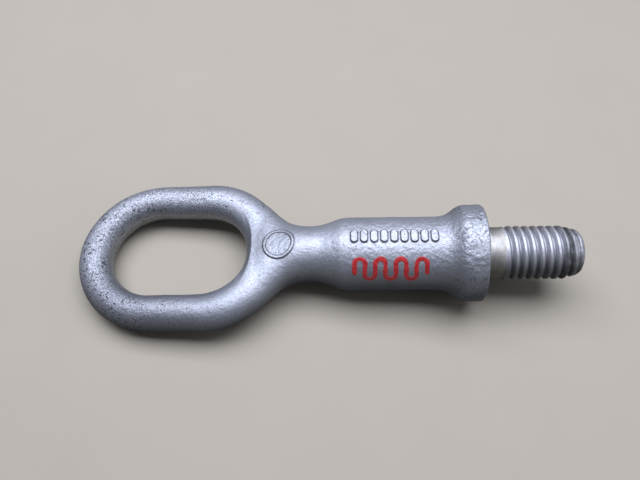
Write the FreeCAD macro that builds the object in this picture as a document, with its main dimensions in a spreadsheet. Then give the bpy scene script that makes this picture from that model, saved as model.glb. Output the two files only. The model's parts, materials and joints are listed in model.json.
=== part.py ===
import FreeCAD, Part
import math
import os

import Sketcher

# Forged screw-in towing eye. The origin is the centre of the collar's seat face, on the bolt's
# axis. +X runs along the axis to the thread's tip, and the flat of the eye lies in the XY plane.

DIMENSIONS = {
    # the eye, a link-shaped loop of round bar
    "bar_diameter": 14.2,
    "eye_half_width": 24.4,  # bolt axis to the bar's centreline
    "eye_far_centre": 123.8,  # seat face back to the centre of the far bend
    "eye_near_centre": 105.2,  # seat face back to the centre of the near bend
    # the web between the eye's two limbs, which runs down to the neck
    "web1_back": 84.2,
    "web1_half_width": 23.2,
    "web1_half_height": 6.1,
    "web2_back": 80.2,
    "web2_half_width": 19.6,
    "web2_half_height": 7.9,
    "web3_back": 75.2,
    "web3_half_width": 14.8,
    "web3_half_height": 9.3,
    "web4_back": 69.7,
    "web4_half_width": 11.9,
    "web4_half_height": 10.4,
    # the neck and the shank
    "neck_back": 64.2,
    "neck_diameter": 21.6,
    "neck_end_back": 52.2,
    "neck_end_diameter": 27.2,
    "neck_sweep": 27.0,
    "shank_back": 51.2,
    "shank_diameter": 28.0,
    # the collar that seats on the vehicle
    "flare_back": 16.2,
    "flare_sweep": 9.0,
    "cone_back": 12.2,
    "cone_start_diameter": 29.9,
    "rim_back": 8.4,
    "collar_diameter": 37.0,
    "rim_back_round": 3.0,
    "rim_front_round": 0.7,
    # the plain relief beside the seat and the rolled thread
    "relief_diameter": 19.3,
    "relief_length": 7.3,  # seat face to the thread
    "seat_fillet": 0.8,
    "thread_diameter": 20.0,
    "thread_pitch": 3.0,
    "thread_depth": 1.84,
    "thread_root_flat": 0.5,
    "thread_flank_angle": 30.0,
    "groove_overcut": 0.4,  # how far the groove's outline stands out past the crest
    "thread_full_from": 8.8,
    "thread_full_to": 29.3,
    "thread_end": 33.3,
    "thread_end_diameter": 17.8,
    "groove_start": 6.5,  # where the groove crosses the top of the bolt before the first full turn
    "thread_turns": 9.5,
    # the domed tip
    "tip_length": 36.8,
    "tip_shoulder": 36.0,
    "tip_shoulder_diameter": 12.0,
    "tip_corner": 3.4,
    "tip_dome": 26.0,
    # the raised ring forged on the web
    "ring_back": 75.5,
    "ring_diameter": 12.0,
    "ring_width": 1.1,
    "ring_base": 7.5,
    "ring_top": 9.75,
    "ring_slope": 14.0,
    # the row of raised pads forged on top of the shank
    "pad_count": 9,
    "pad_spacing": 3.6,
    "pad_width": 2.6,
    "pad_length": 5.0,
    "pad_first_back": 47.4,
    "pad_base": 12.5,
    "pad_top": 14.45,
    # the paint-pen wave on the side of the shank
    "wave_back": 34.4,
    "wave_spacing": 7.4,
    "wave_humps": 4,
    "wave_leg": 4.6,
    "wave_stroke": 1.8,
    "wave_tilt": 52.0,  # from the top of the shank towards -Y
    "film_thickness": 0.08,
}
HALF_TURN = 1.0001  # an arc's radius over half its chord, where it turns half a circle

doc = FreeCAD.newDocument("towing_eye")
sheet = doc.addObject("Spreadsheet::Sheet", "Size")
for row, (alias, number) in enumerate(DIMENSIONS.items(), start=1):
    sheet.set(f"A{row}", alias.replace("_", " "))
    sheet.set(f"B{row}", str(number))
    sheet.setAlias(f"B{row}", alias)
doc.recompute()


def value(expression):
    """The number that an expression of the sheet's cells comes to."""
    result = sheet.evalExpression(expression)
    return float(getattr(result, "Value", result))


# ---------------------------------------------------------------- sketches


def new_body(label):
    body = doc.addObject("PartDesign::Body", label)
    body.Label = label
    return body


def new_sketch(body, name, role):
    """An empty sketch on one of the body's own origin planes."""
    sketch = body.newObject("Sketcher::SketchObject", name)
    plane = next(part for part in body.Origin.OriginFeatures if part.Role == role)
    sketch.AttachmentSupport = (plane, [""])
    sketch.MapMode = "FlatFace"
    return sketch


def shift_plane(sketch, axis, expression):
    """Move the sketch off its origin plane, along x, y or z of that plane."""
    sketch.setExpression(f".AttachmentOffset.Base.{axis}", expression)


def turn_plane(sketch, axis, expression):
    """Turn the sketch about x or y of its origin plane."""
    sketch.AttachmentOffset = FreeCAD.Placement(FreeCAD.Vector(), FreeCAD.Rotation(axis, value(expression)))
    sketch.setExpression(".AttachmentOffset.Rotation.Angle", expression)


def drive(sketch, kind, where, expression):
    """Add a constraint whose value follows the sheet."""
    number = sketch.addConstraint(Sketcher.Constraint(kind, *where, value(expression)))
    sketch.setExpression(f"Constraints[{number}]", expression)


def place_point(sketch, point, x, y):
    """Fix a sketch point at two expressions; a plain 0 puts it on that axis."""
    for kind, axis, expression in (("DistanceX", -2, x), ("DistanceY", -1, y)):
        if expression == "0":
            sketch.addConstraint(Sketcher.Constraint("PointOnObject", *point, axis))
        else:
            drive(sketch, kind, (-1, 1, *point), expression)


def arc_between(start, end, radius, side):
    """An arc from start to end whose centre is on the left (side 1) or the right (side -1)."""
    chord = end - start
    half = chord.Length / 2
    left = FreeCAD.Vector(-chord.y, chord.x, 0).normalize()
    centre = start + chord / 2 + left * (side * math.sqrt(radius**2 - half**2))
    circle = Part.Circle(centre, FreeCAD.Vector(0, 0, 1), radius)
    from_start, from_end = (circle.parameter(point) for point in (start, end))
    if side > 0:
        return Part.ArcOfCircle(circle, from_start, from_end)
    return Part.ArcOfCircle(circle, from_end, from_start)


def outline(sketch, corners):
    """A closed outline. A corner is (x, y), or (x, y, radius, side) where an arc follows it."""
    spots = [FreeCAD.Vector(value(corner[0]), value(corner[1]), 0) for corner in corners]
    ends = []
    for number, corner in enumerate(corners):
        start, end = spots[number], spots[(number + 1) % len(spots)]
        if len(corner) == 2:
            sketch.addGeometry(Part.LineSegment(start, end))
            ends.append((1, 2))
        else:
            radius, side = corner[2:]
            sketch.addGeometry(arc_between(start, end, value(radius), side))
            ends.append((1, 2) if side > 0 else (2, 1))
    for number, corner in enumerate(corners):
        before = number - 1 if number else len(corners) - 1
        joint = (before, ends[before][1], number, ends[number][0])
        sketch.addConstraint(Sketcher.Constraint("Coincident", *joint))
        place_point(sketch, (number, ends[number][0]), corner[0], corner[1])
        if len(corner) > 2:
            drive(sketch, "Radius", (number,), corner[2])


def circle_sketch(body, name, role, x, y, radius):
    sketch = new_sketch(body, name, role)
    centre = FreeCAD.Vector(value(x), value(y), 0)
    sketch.addGeometry(Part.Circle(centre, FreeCAD.Vector(0, 0, 1), value(radius)))
    place_point(sketch, (0, 3), x, y)
    drive(sketch, "Radius", (0,), radius)
    return sketch


def ellipse_sketch(body, name, back, half_width, half_height):
    """An ellipse about the bolt's axis, wide along Y, on a plane square to it."""
    sketch = new_sketch(body, name, "YZ_Plane")
    wide, high = value(half_width), value(half_height)
    tips = (FreeCAD.Vector(wide, 0, 0), FreeCAD.Vector(0, high, 0), FreeCAD.Vector())
    sketch.addGeometry(Part.Ellipse(*tips))
    sketch.exposeInternalGeometry(0)
    sketch.addConstraint(Sketcher.Constraint("Coincident", 0, 3, -1, 1))
    sketch.addConstraint(Sketcher.Constraint("Horizontal", 1))
    drive(sketch, "Distance", (1,), f"2 * {half_width}")
    drive(sketch, "Distance", (2,), f"2 * {half_height}")
    shift_plane(sketch, "z", f"-{back}")
    return sketch


# ---------------------------------------------------------------- features


def revolve(body, name, corners):
    """Turn a half outline in the XZ plane about the bolt's axis."""
    sketch = new_sketch(body, name + "_profile", "XZ_Plane")
    outline(sketch, corners)
    feature = body.newObject("PartDesign::Revolution", name)
    feature.Profile = sketch
    feature.ReferenceAxis = (sketch, ["H_Axis"])
    feature.Angle = 360
    doc.recompute()
    return feature


def pad(body, name, sketch, length):
    feature = body.newObject("PartDesign::Pad", name)
    feature.Profile = sketch
    feature.setExpression("Length", length)
    doc.recompute()
    return feature


def row_of(body, name, feature, direction, count, spacing):
    """Repeat a feature along a sketch's horizontal axis."""
    pattern = body.newObject("PartDesign::LinearPattern", name)
    pattern.Originals = [feature]
    pattern.Direction = (direction, ["H_Axis"])
    pattern.setExpression("Occurrences", count)
    pattern.setExpression("Length", f"({count} - 1) * {spacing}")
    body.Tip = pattern
    doc.recompute()
    return pattern


def pipe(body, name, section, path):
    feature = body.newObject("PartDesign::AdditivePipe", name)
    feature.Profile = section
    feature.Spine = path
    doc.recompute()
    return feature


def round_rim(body, name, base, back, radius, rounding):
    """Round the circular edges of a given radius at a given distance behind the seat face."""
    names = []
    for number, edge in enumerate(base.Shape.Edges, start=1):
        curve = edge.Curve
        if not isinstance(curve, Part.Circle) or abs(curve.Radius - value(radius)) > 0.01:
            continue
        if abs(curve.Center.x + value(back)) < 0.01:
            names.append(f"Edge{number}")
    feature = body.newObject("PartDesign::Fillet", name)
    feature.Base = (base, names)
    feature.setExpression("Radius", rounding)
    doc.recompute()
    return feature


# ---------------------------------------------------------------- sub-parts


BAR = "Size.bar_diameter / 2"


def make_eye_bow():
    """The far bend of the eye and its two straight sides."""
    body = new_body("eye_bow")
    near, far, side = "-Size.eye_near_centre", "-Size.eye_far_centre", "Size.eye_half_width"
    path = new_sketch(body, "bow_path", "XY_Plane")
    top = [FreeCAD.Vector(value(x), value(side), 0) for x in (near, far)]
    low = [FreeCAD.Vector(value(x), -value(side), 0) for x in (far, near)]
    path.addGeometry(Part.LineSegment(*top))
    path.addGeometry(arc_between(top[1], low[0], value(side), 1))
    path.addGeometry(Part.LineSegment(*low))
    path.addConstraint(Sketcher.Constraint("Tangent", 0, 2, 1, 1))
    path.addConstraint(Sketcher.Constraint("Tangent", 1, 2, 2, 1))
    place_point(path, (1, 3), far, "0")
    place_point(path, (0, 1), near, side)
    place_point(path, (2, 2), near, "-" + side)
    section = circle_sketch(body, "bow_section", "YZ_Plane", side, "0", BAR)
    shift_plane(section, "z", near)
    pipe(body, "bow", section, path)
    return body


def make_eye_root():
    """The near bend of the eye and the web that gathers its two limbs, with a raised ring on top."""
    body = new_body("eye_root")
    near, side = "-Size.eye_near_centre", "Size.eye_half_width"
    ends = [FreeCAD.Vector(value(near), sign * value(side), 0) for sign in (-1, 1)]
    path = new_sketch(body, "limb_path", "XY_Plane")
    path.addGeometry(arc_between(ends[0], ends[1], value(side), 1))
    place_point(path, (0, 3), near, "0")
    place_point(path, (0, 1), near, "-" + side)
    path.addConstraint(Sketcher.Constraint("Vertical", 0, 1, 0, 2))
    section = circle_sketch(body, "limb_section", "YZ_Plane", "-" + side, "0", BAR)
    shift_plane(section, "z", near)
    pipe(body, "limbs", section, path)

    sections = []
    for number in range(1, 5):
        cell = f"Size.web{number}_"
        sizes = (cell + "back", cell + "half_width", cell + "half_height")
        sections.append(ellipse_sketch(body, f"web_section_{number}", *sizes))
    sections.append(circle_sketch(body, "web_end", "YZ_Plane", "0", "0", "Size.neck_diameter / 2"))
    shift_plane(sections[-1], "z", "-Size.neck_back")
    web = body.newObject("PartDesign::AdditiveLoft", "web")
    web.Profile = sections[0]
    web.Sections = sections[1:]
    doc.recompute()

    ring = new_sketch(body, "ring_outline", "XY_Plane")
    for number, radius in enumerate(("Size.ring_diameter / 2", "Size.ring_diameter / 2 - Size.ring_width")):
        ring.addGeometry(Part.Circle(FreeCAD.Vector(), FreeCAD.Vector(0, 0, 1), value(radius)))
        ring.addConstraint(Sketcher.Constraint("Coincident", number, 3, -1, 1))
        drive(ring, "Radius", (number,), radius)
    turn_plane(ring, FreeCAD.Vector(0, -1, 0), "Size.ring_slope")
    shift_plane(ring, "x", "-Size.ring_back")
    shift_plane(ring, "z", "Size.ring_base")
    pad(body, "ring", ring, "Size.ring_top - Size.ring_base")
    return body


def make_neck():
    """The slim waist between the web and the shank."""
    body = new_body("neck")
    waist, end, shank = (f"Size.{name}_diameter / 2" for name in ("neck", "neck_end", "shank"))
    corners = [
        ("-Size.neck_back", "0"),
        ("-Size.shank_back", "0"),
        ("-Size.shank_back", shank),
        ("-Size.neck_end_back", end, "Size.neck_sweep", -1),
        ("-Size.neck_back", waist),
    ]
    revolve(body, "neck_turn", corners)
    return body


def make_shank():
    """The round shank, with a row of raised pads along its top."""
    body = new_body("shank")
    section = circle_sketch(body, "shank_section", "YZ_Plane", "0", "0", "Size.shank_diameter / 2")
    shift_plane(section, "z", "-Size.shank_back")
    pad(body, "shank_bar", section, "Size.shank_back - Size.flare_back")

    slot = new_sketch(body, "pad_outline", "XY_Plane")
    left, right = "-Size.pad_first_back - Size.pad_width / 2", "-Size.pad_first_back + Size.pad_width / 2"
    reach = "Size.pad_length / 2 - Size.pad_width / 2"
    bend = f"Size.pad_width / 2 * {HALF_TURN}"
    corners = [
        (left, f"-({reach})", bend, 1),
        (right, f"-({reach})"),
        (right, reach, bend, 1),
        (left, reach),
    ]
    outline(slot, corners)
    shift_plane(slot, "z", "Size.pad_base")
    first = pad(body, "pad", slot, "Size.pad_top - Size.pad_base")
    row_of(body, "pad_row", first, slot, "Size.pad_count", "Size.pad_spacing")
    return body


def make_collar():
    """The flare and the wide collar, with its flat seat face and the fillet that runs to the relief."""
    body = new_body("collar")
    rim = "Size.collar_diameter / 2"
    relief = "Size.relief_diameter / 2"
    corners = [
        ("-Size.flare_back", "0"),
        ("Size.seat_fillet", "0"),
        ("Size.seat_fillet", relief, "Size.seat_fillet", -1),
        ("0", f"{relief} + Size.seat_fillet"),
        ("0", rim),
        ("-Size.rim_back", rim),
        ("-Size.cone_back", "Size.cone_start_diameter / 2", "Size.flare_sweep", -1),
        ("-Size.flare_back", "Size.shank_diameter / 2"),
    ]
    turned = revolve(body, "collar_turn", corners)
    front = round_rim(body, "front_round", turned, "0", rim, "Size.rim_front_round")
    round_rim(body, "back_round", front, "Size.rim_back", rim, "Size.rim_back_round")
    return body


def make_thread_relief():
    """The plain turned stretch between the collar's fillet and the thread."""
    body = new_body("thread_relief")
    section = circle_sketch(body, "relief_section", "YZ_Plane", "0", "0", "Size.relief_diameter / 2")
    shift_plane(section, "z", "Size.seat_fillet")
    pad(body, "relief_bar", section, "Size.relief_length - Size.seat_fillet")
    return body


def groove_sketch(body, name, start, lift):
    """The thread groove's outline above the bolt's axis, lifted off it by some amount."""
    sketch = new_sketch(body, name, "XZ_Plane")
    root = f"Size.thread_diameter / 2 - Size.thread_depth + {lift}"
    cut_depth = "(Size.thread_depth + Size.groove_overcut)"
    mouth = f"{root} + {cut_depth}"
    half_root = "Size.thread_root_flat / 2"
    half_mouth = f"{half_root} + {cut_depth} * tan(Size.thread_flank_angle * 1deg)"
    corners = [
        (f"{start} - ({half_root})", root),
        (f"{start} + {half_root}", root),
        (f"{start} + {half_mouth}", mouth),
        (f"{start} - ({half_mouth})", mouth),
    ]
    outline(sketch, corners)
    return sketch


def cut_groove(body, name, sketch, turns, taper):
    groove = body.newObject("PartDesign::SubtractiveHelix", name)
    groove.Profile = sketch
    groove.ReferenceAxis = (sketch, ["H_Axis"])
    groove.Mode = "pitch-turns-angle"
    groove.setExpression("Pitch", "Size.thread_pitch")
    groove.setExpression("Turns", turns)
    groove.setExpression("Angle", taper)
    groove.LeftHanded = False
    doc.recompute()
    if groove.Shape.Volume > groove.BaseFeature.Shape.Volume - 1:
        raise RuntimeError(f"{name} removed nothing")
    return groove


def make_thread():
    """The rolled right-hand thread. Its groove deepens over the first turn."""
    body = new_body("thread")
    crest = "Size.thread_diameter / 2"
    corners = [
        ("Size.relief_length", "0"),
        ("Size.thread_end", "0"),
        ("Size.thread_end", "Size.thread_end_diameter / 2"),
        ("Size.thread_full_to", crest),
        ("Size.thread_full_from", crest),
        ("Size.relief_length", "Size.relief_diameter / 2"),
    ]
    revolve(body, "thread_blank", corners)
    lead = groove_sketch(body, "lead_groove", "Size.groove_start", "Size.thread_depth")
    cut_groove(body, "lead_turn", lead, "1", "-atan(Size.thread_depth / Size.thread_pitch)")
    full = groove_sketch(body, "full_groove", "Size.groove_start + Size.thread_pitch", "0")
    cut_groove(body, "full_turns", full, "Size.thread_turns", "0")
    return body


def make_tip():
    """The domed end of the bolt."""
    body = new_body("tip")
    corners = [
        ("Size.thread_end", "0"),
        ("Size.tip_length", "0", "Size.tip_dome", 1),
        ("Size.tip_shoulder", "Size.tip_shoulder_diameter / 2", "Size.tip_corner", 1),
        ("Size.thread_end", "Size.thread_end_diameter / 2"),
    ]
    revolve(body, "tip_turn", corners)
    return body


def make_paint_mark():
    """A wavy paint-pen stroke, a thin film that follows the side of the shank."""
    stroke = new_body("wave_stroke")
    half = "Size.wave_spacing / 4"
    outer, inner = f"{half} + Size.wave_stroke / 2", f"{half} - Size.wave_stroke / 2"
    leg = "Size.wave_leg / 2"
    first = "-Size.wave_back - (Size.wave_humps - 1) * Size.wave_spacing / 2"

    hump = new_sketch(stroke, "hump_outline", "XY_Plane")
    corners = [
        (f"{first} - ({outer})", f"-{leg}"),
        (f"{first} - ({inner})", f"-{leg}"),
        (f"{first} - ({inner})", leg, f"({inner}) * {HALF_TURN}", -1),
        (f"{first} + {inner}", leg),
        (f"{first} + {inner}", f"-{leg}"),
        (f"{first} + {outer}", f"-{leg}"),
        (f"{first} + {outer}", leg, f"({outer}) * {HALF_TURN}", 1),
        (f"{first} - ({outer})", leg),
    ]
    outline(hump, corners)
    dip = new_sketch(stroke, "dip_outline", "XY_Plane")
    middle = f"{first} + Size.wave_spacing / 2"
    corners = [
        (f"{middle} - ({outer})", f"-{leg}", f"({outer}) * {HALF_TURN}", 1),
        (f"{middle} + {outer}", f"-{leg}"),
        (f"{middle} + {inner}", f"-{leg}", f"({inner}) * {HALF_TURN}", -1),
        (f"{middle} - ({inner})", f"-{leg}"),
    ]
    outline(dip, corners)
    for sketch in (hump, dip):
        turn_plane(sketch, FreeCAD.Vector(1, 0, 0), "Size.wave_tilt")
    past_film = "Size.shank_diameter / 2 + 2 * Size.film_thickness"
    for name, sketch, count in (("hump", hump, "Size.wave_humps"), ("dip", dip, "(Size.wave_humps - 1)")):
        solid = pad(stroke, name, sketch, past_film)
        row_of(stroke, name + "_row", solid, sketch, count, "Size.wave_spacing")

    tubes = []
    for name, radius in (
        ("film_outside", "Size.shank_diameter / 2 + Size.film_thickness"),
        ("film_inside", "Size.shank_diameter / 2"),
    ):
        tube = doc.addObject("Part::Cylinder", name)
        tube.setExpression("Radius", radius)
        tube.setExpression("Height", "Size.shank_back - Size.flare_back")
        tube.Placement.Rotation = FreeCAD.Rotation(FreeCAD.Vector(0, 1, 0), 90)
        tube.setExpression(".Placement.Base.x", "-Size.shank_back")
        tubes.append(tube)
    film = doc.addObject("Part::Cut", "film")
    film.Base, film.Tool = tubes
    mark = doc.addObject("Part::Common", "paint_mark")
    mark.Label = "paint_mark"
    mark.Base, mark.Tool = film, stroke
    doc.recompute()
    return mark


SUB_PARTS = [
    make_eye_bow(),
    make_eye_root(),
    make_neck(),
    make_shank(),
    make_collar(),
    make_thread_relief(),
    make_thread(),
    make_tip(),
    make_paint_mark(),
]
doc.recompute()

# ---------------------------------------------------------------- checks and STEP files

broken = [thing.Name for thing in doc.Objects if {"Invalid", "Error"} & set(thing.State)]
if broken:
    raise RuntimeError(f"these objects did not compute: {broken}")
for sub_part in SUB_PARTS:
    if sub_part.Shape.isNull() or not sub_part.Shape.isValid():
        raise RuntimeError(f"{sub_part.Label} has no valid shape")
    if len(sub_part.Shape.Solids) != 1:
        raise RuntimeError(f"{sub_part.Label} has {len(sub_part.Shape.Solids)} solids")

os.makedirs("parts", exist_ok=True)
for sub_part in SUB_PARTS:
    sub_part.Shape.exportStep(f"parts/{sub_part.Label}.step")
    box = sub_part.Shape.optimalBoundingBox(False)
    print(
        f"{sub_part.Label}: {sub_part.Shape.Volume:.0f} mm3,",
        f"x {box.XMin:.1f} to {box.XMax:.1f}, y {box.YMin:.1f} to {box.YMax:.1f},",
        f"z {box.ZMin:.1f} to {box.ZMax:.1f}",
    )
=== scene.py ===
import json
import math

import bmesh
import bpy
import numpy as np
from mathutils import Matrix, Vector


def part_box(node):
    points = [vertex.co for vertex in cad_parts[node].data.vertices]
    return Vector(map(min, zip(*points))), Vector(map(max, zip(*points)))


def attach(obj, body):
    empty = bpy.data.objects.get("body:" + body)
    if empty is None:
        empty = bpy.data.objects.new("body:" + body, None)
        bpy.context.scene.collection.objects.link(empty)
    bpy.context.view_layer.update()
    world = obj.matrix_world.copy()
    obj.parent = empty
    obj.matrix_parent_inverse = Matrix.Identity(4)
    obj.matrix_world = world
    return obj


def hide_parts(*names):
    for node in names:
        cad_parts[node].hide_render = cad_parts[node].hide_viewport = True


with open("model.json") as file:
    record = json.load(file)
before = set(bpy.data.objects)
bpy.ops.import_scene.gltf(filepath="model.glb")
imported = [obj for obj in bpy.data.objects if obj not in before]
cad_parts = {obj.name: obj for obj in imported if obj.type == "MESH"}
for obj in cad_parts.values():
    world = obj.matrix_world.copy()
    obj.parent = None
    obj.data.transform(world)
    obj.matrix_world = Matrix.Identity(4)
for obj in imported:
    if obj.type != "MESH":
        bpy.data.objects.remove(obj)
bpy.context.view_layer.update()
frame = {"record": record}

# Looks of the forged screw-in towing eye. Lengths are in millimetres until a mesh is made.
MM = 0.001


def reach(node, axis, end):
    """Where a CAD node's box ends along an axis, in millimetres."""
    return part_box(node)[end][axis] / MM


# stations along the bolt, measured from the seat face
FAR_END = reach("eye_bow", 0, 0)
BOW_NEAR = reach("eye_bow", 0, 1)
NECK_BACK = reach("neck", 0, 0)
SHANK_BACK = reach("shank", 0, 0)
FLARE_BACK = reach("shank", 0, 1)
RELIEF_END = reach("thread_relief", 0, 1)
THREAD_END = reach("thread", 0, 1)
TIP_END = reach("tip", 0, 1)

# sizes across the bolt
EYE_REACH = reach("eye_bow", 1, 1)
BAR = reach("eye_bow", 2, 1)
SHANK = -reach("shank", 2, 0)
COLLAR = reach("collar", 2, 1)
RELIEF = reach("thread_relief", 2, 1)
# over the thread's crests, from the thread's mount
CREST = frame["record"]["mounts"][1]["dims"]["r_mm"]

BOW_FAR = FAR_END + EYE_REACH
# radius of the middle of the eye's bar, round both bends
EYE_RADIUS = 24.0

# keeps divisions away from zero
TINY = 1e-6

rng = np.random.default_rng(7)


# ---------------------------------------------------------------- numbers


def smooth_step(low, high, x):
    """0 up to low and 1 from high on, with a smooth rise between them."""
    t = np.clip((x - low) / (high - low), 0, 1)
    return t * t * (3 - 2 * t)


def smooth_min(a, b, blend):
    """The smaller of two numbers, rounded off where they are within a blend of each other."""
    h = np.clip(0.5 + 0.5 * (b - a) / blend, 0, 1)
    return b + (a - b) * h - blend * h * (1 - h)


def smooth_max(a, b, blend):
    return -smooth_min(-a, -b, blend)


def curve_through(knots, x):
    """A smooth curve through (x, y) knots, flat beyond the ends."""
    xs, ys = np.array(knots, float).T
    slopes = np.gradient(ys, xs)
    slopes[0] = slopes[-1] = 0
    x = np.clip(x, xs[0], xs[-1])
    k = np.clip(np.searchsorted(xs, x, side="right") - 1, 0, len(xs) - 2)
    width = xs[k + 1] - xs[k]
    t = (x - xs[k]) / width
    start, end = ys[k], ys[k + 1]
    pull, push = slopes[k] * width, slopes[k + 1] * width
    return (
        start * (1 + 2 * t) * (1 - t) ** 2
        + pull * t * (1 - t) ** 2
        + end * t * t * (3 - 2 * t)
        + push * t * t * (t - 1)
    )


LATTICE_SIDE = 32
LATTICE = rng.uniform(-1, 1, (LATTICE_SIDE,) * 3)
# each seed reads the lattice from another place, and the shift keeps every cell's number above zero
SEED_SHIFT = 11.3
LATTICE_SHIFT = 500


def noise(points, size, seed=0):
    """Smooth noise between -1 and 1 whose lumps are about the given size."""
    p = points / size + SEED_SHIFT * seed + LATTICE_SHIFT
    cell = np.floor(p).astype(int)
    t = p - cell
    t = t * t * (3 - 2 * t)
    total = 0
    for corner in range(8):
        step = np.array([corner & 1, corner >> 1 & 1, corner >> 2])
        i, j, k = ((cell + step) % LATTICE_SIDE).T
        total = total + LATTICE[i, j, k] * np.prod(np.where(step, t, 1 - t), axis=1)
    return total


# ---------------------------------------------------------------- the forging's outline

# The smooth shapes lie a little inside the CAD's, so that the skin's waves stay inside its box.
STEM_HALF_WIDTH = [
    (BOW_NEAR + 20.0, 19.0),
    (BOW_NEAR + 24.6, 17.9),
    (BOW_NEAR + 28.7, 15.3),
    (BOW_NEAR + 32.8, 12.9),
    (BOW_NEAR + 37.0, 11.3),
    (NECK_BACK, 10.8),
    (NECK_BACK + 4.1, 11.2),
    (NECK_BACK + 8.2, 12.4),
    (NECK_BACK + 12.0, 13.7),
    (SHANK_BACK + 2.5, SHANK),
]
STEM_HALF_HEIGHT = [
    (BOW_NEAR + 20.0, 5.4),
    (BOW_NEAR + 25.0, 7.7),
    (BOW_NEAR + 30.0, 9.2),
    (BOW_NEAR + 35.5, 10.3),
    (NECK_BACK, 10.8),
    (NECK_BACK + 4.1, 11.2),
    (NECK_BACK + 8.2, 12.4),
    (NECK_BACK + 12.0, 13.7),
    (SHANK_BACK + 2.5, SHANK),
]
RIM = COLLAR - 0.15
# straight runs and corners of the flare and the collar, rounded off below
COLLAR_RADII = [
    (FLARE_BACK - 10.0, SHANK),
    (FLARE_BACK, SHANK),
    (FLARE_BACK + 2.6, SHANK + 0.35),
    (FLARE_BACK + 4.6, SHANK + 1.4),
    (-8.2, RIM),
    (-7.4, RIM),
    (1.0, RIM),
]
COLLAR_SOFTNESS = 1.15
# on the shank's straight run, where the stem's table hands over to the collar's
COLLAR_TABLE_FROM = FLARE_BACK - 6

BAR_HALF_WIDTH = [
    (FAR_END, 6.45),
    (BOW_FAR, 6.6),
    (BOW_FAR + 6.0, 6.75),
    (BOW_NEAR - 4.0, 6.9),
    (BOW_NEAR + 6.0, 7.35),
    (BOW_NEAR + 16.0, 7.5),
]
BAR_HALF_HEIGHT = BAR - 0.25
CROTCH_BLEND = 5.0
SEAT_EDGE = 0.9


def rounded_profile(corners, softness, step=0.05):
    """A polyline of (x, radius) corners, blurred along x, as a table for np.interp."""
    xs, radii = np.array(corners, float).T
    x = np.arange(xs[0], xs[-1], step)
    r = np.interp(x, xs, radii)
    half = int(4 * softness / step)
    kernel = np.exp(-0.5 * (np.arange(-half, half + 1) * step / softness) ** 2)
    padded = np.pad(r, half, mode="edge")
    return x, np.convolve(padded, kernel / kernel.sum(), mode="valid")


COLLAR_TABLE = rounded_profile(COLLAR_RADII, COLLAR_SOFTNESS)


def oval(across, up, half_width, half_height):
    """Distance outside an ellipse, measured along the ray from its centre."""
    far = np.hypot(across, up)
    ratio = np.hypot(across / half_width, up / half_height)
    return far - far / np.maximum(ratio, TINY)


def across_bar(x, y):
    """How far a point is from the middle of the eye's bar, seen from above, counted outwards."""
    past = x - np.clip(x, BOW_FAR, BOW_NEAR)
    return np.hypot(past, y) - EYE_RADIUS


def eye_bar(x, y, z):
    """The link-shaped bar of the eye: two straight sides and two bends."""
    return oval(across_bar(x, y), z, curve_through(BAR_HALF_WIDTH, x), BAR_HALF_HEIGHT)


def stem(x, y, z):
    """The web, neck, shank, flare and collar, cut off square inside the eye's bar."""
    collar = np.interp(x, *COLLAR_TABLE)
    flared = x > COLLAR_TABLE_FROM
    half_width = np.where(flared, collar, curve_through(STEM_HALF_WIDTH, x))
    half_height = np.where(flared, collar, curve_through(STEM_HALF_HEIGHT, x))
    side = oval(y, z, half_width, half_height)
    return np.maximum(side, STEM_HALF_WIDTH[0][0] - x)


def forging(points):
    """Below zero inside the forging, above zero outside it, and about the distance near its skin."""
    x, y, z = points.T
    whole = smooth_min(eye_bar(x, y, z), stem(x, y, z), CROTCH_BLEND)
    return smooth_max(whole, x, SEAT_EDGE)


# ---------------------------------------------------------------- meshing


def surface_cells(values):
    """The grid cells that the zero surface passes through."""
    inside = values < 0
    count = np.zeros(np.array(values.shape) - 1, np.int8)
    for corner in np.ndindex(2, 2, 2):
        part = tuple(slice(c, c + n - 1) for c, n in zip(corner, values.shape))
        count += inside[part]
    return np.argwhere((count > 0) & (count < 8))


AXES = np.eye(3, dtype=int)


def net_points(values, cells):
    """For each cell, the mean of the places where the surface crosses its edges, in cells."""
    total, crossings = np.zeros((len(cells), 3)), np.zeros(len(cells))
    for axis in range(3):
        first, second = AXES[(axis + 1) % 3], AXES[(axis + 2) % 3]
        for i, j in np.ndindex(2, 2):
            start = cells + i * first + j * second
            low, high = values[tuple(start.T)], values[tuple((start + AXES[axis]).T)]
            crossed = (low < 0) != (high < 0)
            share = np.where(crossed, low / np.where(crossed, low - high, 1), 0)
            spot = i * first + j * second + share[:, None] * AXES[axis]
            total += spot * crossed[:, None]
            crossings += crossed
    return cells + total / crossings[:, None]


def net_quads(values, number):
    """A quad round each edge of the grid that the surface crosses, facing out."""
    quads = []
    for axis in range(3):
        low, high = [slice(None)] * 3, [slice(None)] * 3
        low[axis], high[axis] = slice(0, -1), slice(1, None)
        before, after = values[tuple(low)] < 0, values[tuple(high)] < 0
        first, second = AXES[(axis + 1) % 3], AXES[(axis + 2) % 3]
        for leaving in (True, False):
            edges = np.argwhere((before & ~after) if leaving else (~before & after))
            ring = [edges, edges - first, edges - first - second, edges - second]
            corners = [number[tuple(c.T)] for c in ring]
            quads.append(np.stack(corners if leaving else corners[::-1], axis=1))
    return np.concatenate(quads)


def surface_net(values, origin, cell):
    """Vertices and quads of the zero surface of a grid of values, one vertex to a cell."""
    cells = surface_cells(values)
    number = np.full(np.array(values.shape) - 1, -1)
    number[tuple(cells.T)] = np.arange(len(cells))
    return origin + cell * net_points(values, cells), net_quads(values, number)


def slope(shape, points, step=0.02):
    """The direction in which a shape's value grows fastest, at each point."""
    parts = []
    for axis in np.eye(3) * step:
        parts.append((shape(points + axis) - shape(points - axis)) / (2 * step))
    return np.stack(parts, axis=1)


LONGEST_MOVE = 0.3
LEAST_SLOPE_SQUARED = 0.05


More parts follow.
